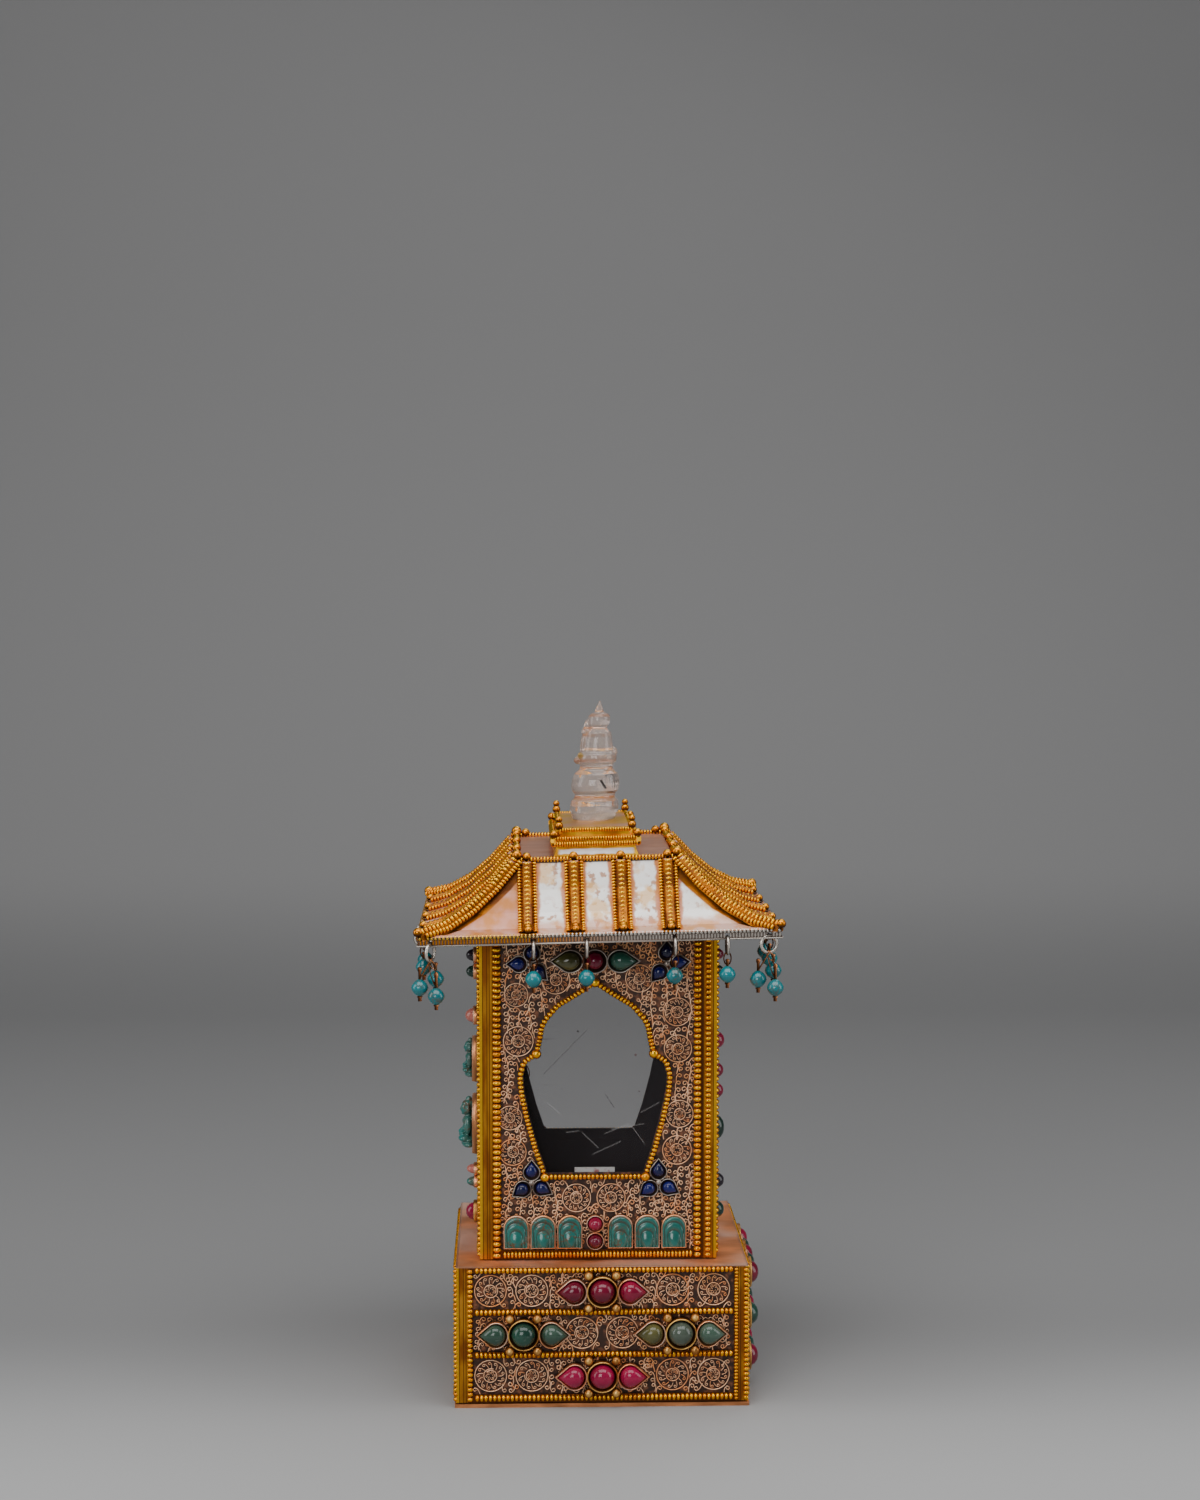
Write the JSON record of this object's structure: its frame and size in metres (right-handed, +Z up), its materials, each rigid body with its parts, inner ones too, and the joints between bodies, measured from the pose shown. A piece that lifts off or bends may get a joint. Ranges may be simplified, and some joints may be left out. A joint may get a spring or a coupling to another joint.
{
  "type": "small altar shrine box",
  "caption": "Small gilt copper altar shrine box on a plinth, with arched windows, stone settings, a hipped pagoda roof with bead pendants and a clear crystal finial.",
  "frame": {"origin": "centre of the whole object's footprint on the surface it stands on, under the middle of the roof and shrine", "axes": "+Z up, the shrine's front faces -Y, +X to the right as seen from the front"},
  "size_m": [0.0917, 0.0877, 0.1733],
  "materials": {
    "gilt_filigree": "gilt and rose copper filigree on sheet",
    "gilt_wire": "gilt copper with an orange patina in the recesses",
    "bare_copper": "brushed bare copper sheet",
    "silvered_sheet": "silvered sheet with gold and copper stains",
    "clear_pane": "clear sheet with fine scratches",
    "rock_crystal": "polished clear crystal with rust stain in the grooves",
    "ruby": "polished red stone",
    "green_stone": "polished green stone",
    "lapis": "polished deep blue stone",
    "turquoise": "waxed turquoise with brown veins",
    "coral": "polished pink coral"
  },
  "bodies": {
    "root": {"back_crown_stones": "ruby", "base_back_ruby_bottom": "ruby", "base_back_ruby_top": "ruby", "base_box": "gilt_filigree", "base_front_green_left": "green_stone", "base_front_green_right": "green_stone", "base_front_ruby_bottom": "ruby", "base_front_ruby_top": "ruby", "base_plate": "bare_copper", "base_right_row_1": "ruby", "base_right_row_2": "green_stone", "base_right_row_3": "ruby", "crystal_finial": "rock_crystal", "front_crown_stones": "ruby", "front_ruby_pair": "ruby", "front_tile_1": "turquoise", "front_tile_2": "turquoise", "front_tile_3": "turquoise", "front_tile_4": "turquoise", "front_tile_5": "turquoise", "front_tile_6": "turquoise", "front_trefoil_1": "lapis", "front_trefoil_2": "lapis", "front_trefoil_3": "lapis", "front_trefoil_4": "lapis", "left_coral_pair": "coral", "left_figure_lower": "turquoise", "left_figure_upper": "turquoise", "left_pink": "coral", "left_ruby": "ruby", "left_top_pair": "lapis", "pendant_back_1": "turquoise", "pendant_back_3": "turquoise", "pendant_corner_left": "turquoise", "pendant_corner_right": "turquoise", "pendant_front_1": "turquoise", "pendant_front_2": "turquoise", "pendant_front_3": "turquoise", "pendant_front_4": "turquoise", "pendant_left_1": "turquoise", "pendant_left_2": "turquoise", "pendant_right_1": "turquoise", "pendant_right_2": "turquoise", "right_dark": "lapis", "right_framed_ruby": "ruby", "right_green": "green_stone", "right_green_oval": "green_stone", "right_ruby_pair": "ruby", "right_top_pair": "ruby", "roof_shell": "silvered_sheet", "roof_tray": "gilt_wire", "shrine_walls": "gilt_filigree", "window_border_back": "gilt_wire", "window_border_front": "gilt_wire", "window_pane_back": "clear_pane", "window_pane_front": "clear_pane", "window_tab": "silvered_sheet"}
  },
  "joints": []
}
